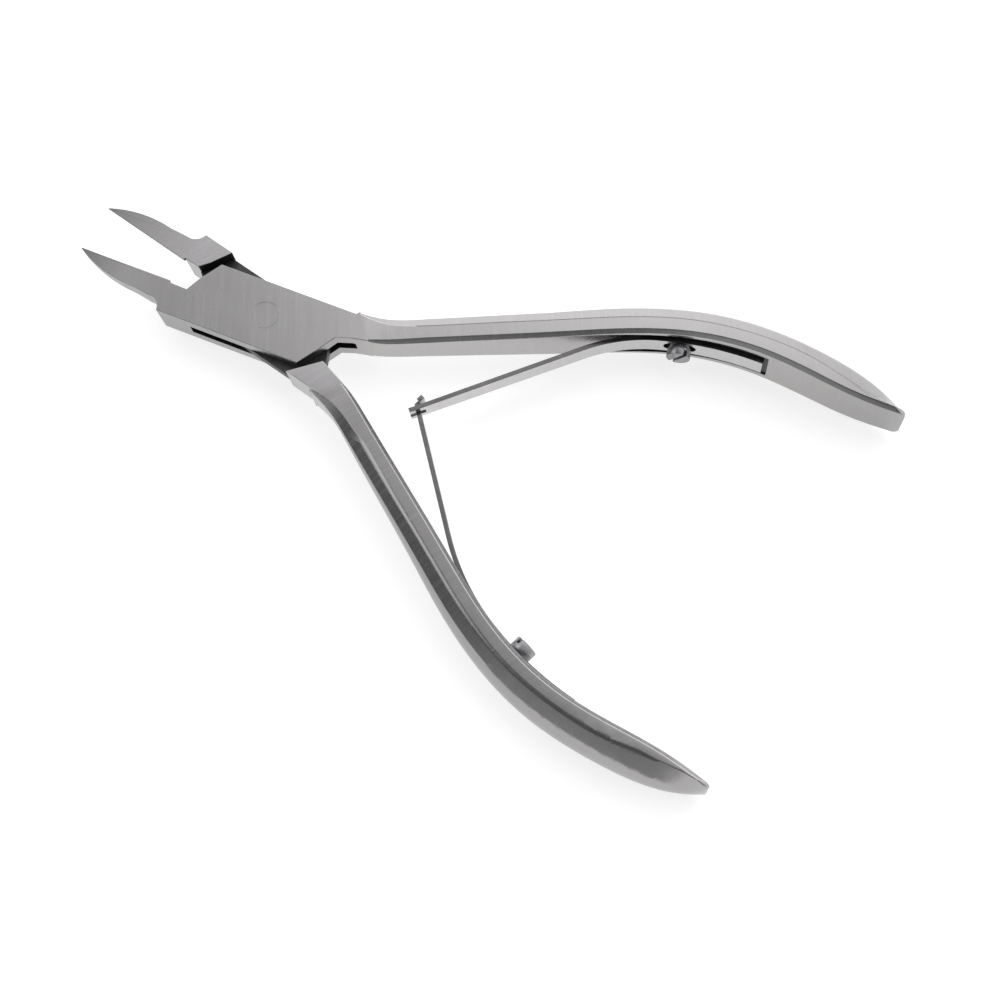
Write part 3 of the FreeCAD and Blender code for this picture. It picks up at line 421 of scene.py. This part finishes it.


# The steps along X in the two halves' finishes are painted shade and light: the jaw tips darkest,
# and the box, the pin and the handles darkened or left bright part by part.
box_steel = steel("box_half_steel", (0.44, 0.43, 0.428), (0.48, 0.47, 0.468), gloss=0.26,
                  turn=60, bump=0.08,
                  painted_shading=((-34, 0.25), (-24, 0.6), (-15, 0.62), (11, 0.85), (19, 1.0), (60, 1.0),
                          (90, 0.75)))
inner_steel = steel("inner_half_steel", (0.43, 0.42, 0.425), (0.47, 0.46, 0.465), gloss=0.26,
                    turn=-60, bump=0.03,
                    painted_shading=((-34, 0.35), (-24, 0.62), (-15, 0.85), (15, 0.98), (20, 0.66),
                            (55, 0.72), (100, 0.85)))
# Near-black painted shade for the walls of the slot, the web, the recess and the shoulders, where
# shadow falls between the parts.
painted_shade_steel = steel("unpolished_steel", (0.035, 0.034, 0.036), (0.10, 0.097, 0.10), gloss=0.45,
                   turn=90, bump=0.4)
# A darker painted shade for the crease along the top of the upper handle.
crease_shade_steel = steel("crease_shade_steel", (0.16, 0.155, 0.16), (0.22, 0.215, 0.22), gloss=0.35,
                     turn=90, bump=0.1)
painted_shade_slot, crease_shade_slot = 1, 2
edge_round = 0.1 * MM

# Places in the tests below are in millimetres, and limits on normals are shares of one.
box_middle = 3.1
slot_low, slot_high, slot_to = 2.05, 4.15, 13
recess_half, recess_to = 3.25, 75.5
recess_walls_from, recess_floor_from = 44, 52
wall_normal, outward_normal = 0.5, 0.3


def shaded_hollow(corners, middle, normal, side):
    """Walls of the slot, the web and the recess, which take the near-black painted shade."""
    in_slot = all(slot_low < point.z < slot_high for point in corners) and middle.x < slot_to
    recess_from = recess_walls_from if abs(normal.z) >= wall_normal else recess_floor_from
    in_recess = (all(abs(point.z - box_middle) < recess_half for point in corners)
                 and recess_from < middle.x < recess_to and normal.y * side < outward_normal)
    return in_slot or in_recess


crease_from = 22
crease_normal_low, crease_normal_high = 0.84, 0.985
shoulder_reach = 16
upright_normal, towards_pin = 0.3, -0.3


def on_crease(corners, middle, normal):
    """The broken edge along the top of the upper handle, which takes a darker painted shade."""
    return (crease_normal_low < normal.z < crease_normal_high and middle.x > crease_from
            and normal.y > 0)


def shoulder_wall(corners, middle, normal):
    """The walls of the inner half that face the pin, beside the web."""
    return (abs(normal.z) < upright_normal and middle.xy.length < shoulder_reach
            and normal.xy.dot(middle.xy) < towards_pin * middle.xy.length)


forgings = []
for node, name, side, finish in (("box_half", "box_forging", 1, box_steel),
                                 ("inner_half", "inner_forging", -1, inner_steel)):
    forging = copy_of(node, name)
    round_end(forging, side)
    if side < 0:
        soften_ridge(forging, side)
    break_edges(forging, edge_round)
    for material in (finish, painted_shade_steel, crease_shade_steel):
        forging.data.materials.append(material)
    # The walls of the slot, the web and the recess take the near-black painted shade.
    paint_faces(forging, painted_shade_slot, lambda corners, middle, normal:
                shaded_hollow(corners, middle, normal, side))
    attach(forging, node)
    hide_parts(node)
    forgings.append(forging)
box_forging, inner_forging = forgings
# The crease along the upper handle takes the darker painted shade.
paint_faces(box_forging, crease_shade_slot, on_crease)
# The shoulder walls beside the web take the near-black painted shade as well.
paint_faces(inner_forging, painted_shade_slot, shoulder_wall)

# The pivot pin is pressed in and ground flush with both faces of the box, so it takes the
# same brushing as the box.
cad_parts["pivot_pin"].data.materials.clear()
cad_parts["pivot_pin"].data.materials.append(box_steel)

# The two leaves are spring steel strip, cut, drilled and bent, with darker cut edges.
leaf_steel = steel("leaf_steel", (0.52, 0.51, 0.51), (0.60, 0.59, 0.59), gloss=0.28, turn=0,
                   bump=0.15)
leaf_edge_steel = steel("leaf_edge_steel", (0.14, 0.135, 0.14), (0.20, 0.195, 0.20), gloss=0.35,
                        turn=0, bump=0.3)
leaf_edge_slot = 1
leaf_edge_normal = 0.7
leaf_round = 0.05 * MM
stations = 36


def bending_leaf(node, name, own):
    """The leaf, cut across at even stations from its root to its tip."""
    leaf = copy_of(node, name)
    low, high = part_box(node)
    root_y, tip_y = (high[1], low[1]) if own == "box_half" else (low[1], high[1])
    middle = (low[2] + high[2]) / 2
    root, tip = Vector((high[0], root_y, middle)), Vector((low[0], tip_y, middle))
    bpy.ops.object.mode_set(mode="EDIT")
    for step in range(1, stations):
        bpy.ops.mesh.select_all(action="SELECT")
        bpy.ops.mesh.bisect(plane_co=root.lerp(tip, step / stations), plane_no=tip - root)
    bpy.ops.object.mode_set(mode="OBJECT")
    break_edges(leaf, leaf_round)
    leaf.data.materials.append(leaf_steel)
    leaf.data.materials.append(leaf_edge_steel)
    paint_faces(leaf, leaf_edge_slot, lambda corners, middle, normal:
                abs(normal.z) > leaf_edge_normal)
    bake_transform(leaf)
    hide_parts(node)


bending_leaf("upper_spring", "upper_leaf", "box_half")
bending_leaf("lower_spring", "lower_leaf", "inner_half")

# The two cheese-head screws that hold the leaves are turned steel, with a darker tumbled
# head, a bright rim and a sawn driver slot.
screw_steel = steel("screw_steel", (0.16, 0.16, 0.17), (0.42, 0.42, 0.43), gloss=0.35, turn=0,
                    bump=0.3)
rim_round = 0.12 * MM
for node, body in (("upper_spring_screw", "box_half"), ("lower_spring_screw", "inner_half")):
    screw = copy_of(node, node.replace("spring_screw", "leaf_screw"))
    break_edges(screw, rim_round)
    screw.data.materials.append(screw_steel)
    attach(screw, body)
    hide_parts(node)
